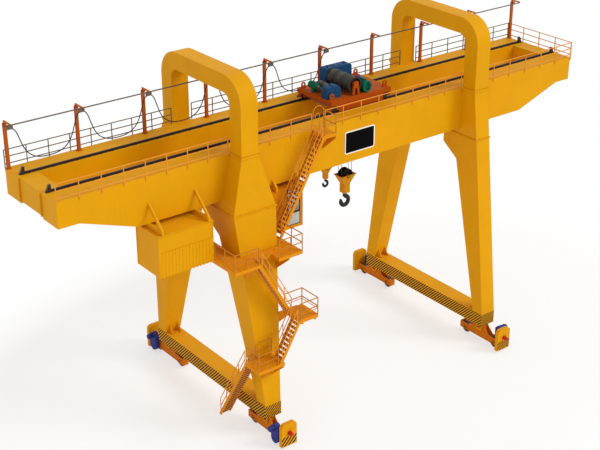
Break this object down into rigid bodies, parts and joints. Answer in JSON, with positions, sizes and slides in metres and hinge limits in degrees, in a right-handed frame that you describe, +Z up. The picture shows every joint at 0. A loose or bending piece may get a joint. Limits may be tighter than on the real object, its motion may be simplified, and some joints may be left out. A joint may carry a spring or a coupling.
{
  "type": "double-girder gantry crane",
  "caption": "Double-girder gantry crane with cantilevers, portal arches, a travelling hoist trolley with two hooks, stairs, cab and festoon line.",
  "frame": {"origin": "on the level of the wheel flanges' lowest point, under the middle of the girders", "axes": "+X along the girders from the rigid frame towards the flexible frame, +Y along the travel track away from the stairs, +Z up"},
  "size_m": [39.2, 15.7, 22],
  "materials": {
    "girder_yellow": "semi-gloss paint",
    "bogie_orange": "semi-gloss paint",
    "cab_orange": "semi-gloss paint",
    "rail_steel": "rolled steel",
    "post_orange": "semi-gloss paint",
    "stair_orange": "semi-gloss paint",
    "handrail_orange": "semi-gloss paint",
    "back_rail_olive": "semi-gloss paint",
    "track_grey": "painted",
    "cable_black": "matt",
    "plate_black": "gloss paint",
    "glass": "clear",
    "drive_violet": "semi-gloss paint",
    "buffer_red": "matt",
    "wheel_dark": "worn steel",
    "trolley_orange": "semi-gloss paint",
    "gearbox_blue": "semi-gloss paint",
    "motor_green": "semi-gloss paint",
    "drum_grey": "machined and oiled",
    "block_yellow": "semi-gloss paint",
    "hook_black": "forged",
    "rope_steel": "greased wire"
  },
  "bodies": {
    "structure": {"front_girder": "girder_yellow", "back_girder": "girder_yellow", "end_beams": "girder_yellow", "rigid_front_leg": "girder_yellow", "rigid_back_leg": "girder_yellow", "flexible_front_leg": "girder_yellow", "flexible_back_leg": "girder_yellow", "rigid_arch": "girder_yellow", "flexible_arch": "girder_yellow", "rigid_sill": "girder_yellow", "flexible_sill": "girder_yellow", "bogie_frames": "girder_yellow", "electric_house": "girder_yellow", "hangers": "girder_yellow", "bogie_saddles": "bogie_orange", "cab_shell": "cab_orange", "trolley_rails": "rail_steel", "rail_stops": "rail_steel", "festoon_posts": "post_orange", "stair_stringers": "stair_orange", "stair_treads": "stair_orange", "lower_platform": "stair_orange", "stair_landing": "stair_orange", "upper_platform": "stair_orange", "top_landing": "stair_orange", "stair_handrails": "handrail_orange", "platform_railings": "handrail_orange", "front_railing": "handrail_orange", "end_railing": "handrail_orange", "back_railing": "back_rail_olive", "festoon_track": "track_grey", "festoon_cable": "cable_black", "load_plate": "plate_black", "cab_glass": "glass", "travel_drives": "drive_violet", "travel_buffers": "buffer_red"},
    "trolley": {"trolley_frame": "trolley_orange", "hoist_gearboxes": "gearbox_blue", "hoist_motors": "motor_green", "main_ropes": "rope_steel", "aux_ropes": "rope_steel"},
    "main_drum": {"main_drum": "drum_grey"},
    "aux_drum": {"aux_drum": "drum_grey"},
    "left_axle": {"left_axle_set": "wheel_dark"},
    "right_axle": {"right_axle_set": "wheel_dark"},
    "main_block": {"main_hook_block": "block_yellow"},
    "main_hook": {"main_hook": "hook_black"},
    "aux_block": {"aux_hook_block": "block_yellow"},
    "aux_hook": {"aux_hook": "hook_black"},
    "rigid_front_inner_wheel": {"rigid_front_inner_wheel": "wheel_dark"},
    "rigid_front_outer_wheel": {"rigid_front_outer_wheel": "wheel_dark"},
    "rigid_back_inner_wheel": {"rigid_back_inner_wheel": "wheel_dark"},
    "rigid_back_outer_wheel": {"rigid_back_outer_wheel": "wheel_dark"},
    "flexible_front_inner_wheel": {"flexible_front_inner_wheel": "wheel_dark"},
    "flexible_front_outer_wheel": {"flexible_front_outer_wheel": "wheel_dark"},
    "flexible_back_inner_wheel": {"flexible_back_inner_wheel": "wheel_dark"},
    "flexible_back_outer_wheel": {"flexible_back_outer_wheel": "wheel_dark"}
  },
  "joints": [
    {"name": "trolley_travel", "type": "slide", "parent": "structure", "child": "trolley", "axis": [1, 0, 0], "range_m": [-18.535, 14.575]},
    {"name": "main_hoist", "type": "slide", "parent": "trolley", "child": "main_block", "axis": [0, 0, 1], "range_m": [-9.5, 1.3], "deforming": ["main_ropes"]},
    {"name": "aux_hoist", "type": "slide", "parent": "trolley", "child": "aux_block", "axis": [0, 0, 1], "range_m": [-11, 1.3], "deforming": ["aux_ropes"]},
    {"name": "main_hook_swivel", "type": "hinge", "parent": "main_block", "child": "main_hook", "pos_m": [2.17, 0, 11], "axis": [0, 0, 1], "continuous": true},
    {"name": "aux_hook_swivel", "type": "hinge", "parent": "aux_block", "child": "aux_hook", "pos_m": [0.565, 0, 12.4], "axis": [0, 0, 1], "continuous": true},
    {"name": "main_drum_spin", "type": "hinge", "parent": "trolley", "child": "main_drum", "pos_m": [1.64, 0, 18.9], "axis": [0, 1, 0], "continuous": true},
    {"name": "aux_drum_spin", "type": "hinge", "parent": "trolley", "child": "aux_drum", "pos_m": [0.42, 0, 18.72], "axis": [0, 1, 0], "continuous": true},
    {"name": "left_axle_roll", "type": "hinge", "parent": "trolley", "child": "left_axle", "pos_m": [-0.03, 0, 17.795], "axis": [0, 1, 0], "continuous": true},
    {"name": "right_axle_roll", "type": "hinge", "parent": "trolley", "child": "right_axle", "pos_m": [3.99, 0, 17.795], "axis": [0, 1, 0], "continuous": true},
    {"name": "rigid_front_inner_roll", "type": "hinge", "parent": "structure", "child": "rigid_front_inner_wheel", "pos_m": [-8.07, -4.12, 0.4], "axis": [1, 0, 0], "continuous": true},
    {"name": "rigid_front_outer_roll", "type": "hinge", "parent": "structure", "child": "rigid_front_outer_wheel", "pos_m": [-8.07, -6.78, 0.4], "axis": [1, 0, 0], "continuous": true},
    {"name": "rigid_back_inner_roll", "type": "hinge", "parent": "structure", "child": "rigid_back_inner_wheel", "pos_m": [-8.07, 4.12, 0.4], "axis": [1, 0, 0], "continuous": true},
    {"name": "rigid_back_outer_roll", "type": "hinge", "parent": "structure", "child": "rigid_back_outer_wheel", "pos_m": [-8.07, 6.78, 0.4], "axis": [1, 0, 0], "continuous": true},
    {"name": "flexible_front_inner_roll", "type": "hinge", "parent": "structure", "child": "flexible_front_inner_wheel", "pos_m": [9.93, -4.12, 0.4], "axis": [1, 0, 0], "continuous": true},
    {"name": "flexible_front_outer_roll", "type": "hinge", "parent": "structure", "child": "flexible_front_outer_wheel", "pos_m": [9.93, -6.78, 0.4], "axis": [1, 0, 0], "continuous": true},
    {"name": "flexible_back_inner_roll", "type": "hinge", "parent": "structure", "child": "flexible_back_inner_wheel", "pos_m": [9.93, 4.12, 0.4], "axis": [1, 0, 0], "continuous": true},
    {"name": "flexible_back_outer_roll", "type": "hinge", "parent": "structure", "child": "flexible_back_outer_wheel", "pos_m": [9.93, 6.78, 0.4], "axis": [1, 0, 0], "continuous": true}
  ],
  "couplings": [
    {"joint": "main_drum_spin", "follows": "main_hoist", "rad_per_m": -2.0576},
    {"joint": "aux_drum_spin", "follows": "aux_hoist", "rad_per_m": -4.6296},
    {"joint": "left_axle_roll", "follows": "trolley_travel", "rad_per_m": 5.7143},
    {"joint": "right_axle_roll", "follows": "trolley_travel", "rad_per_m": 5.7143}
  ]
}
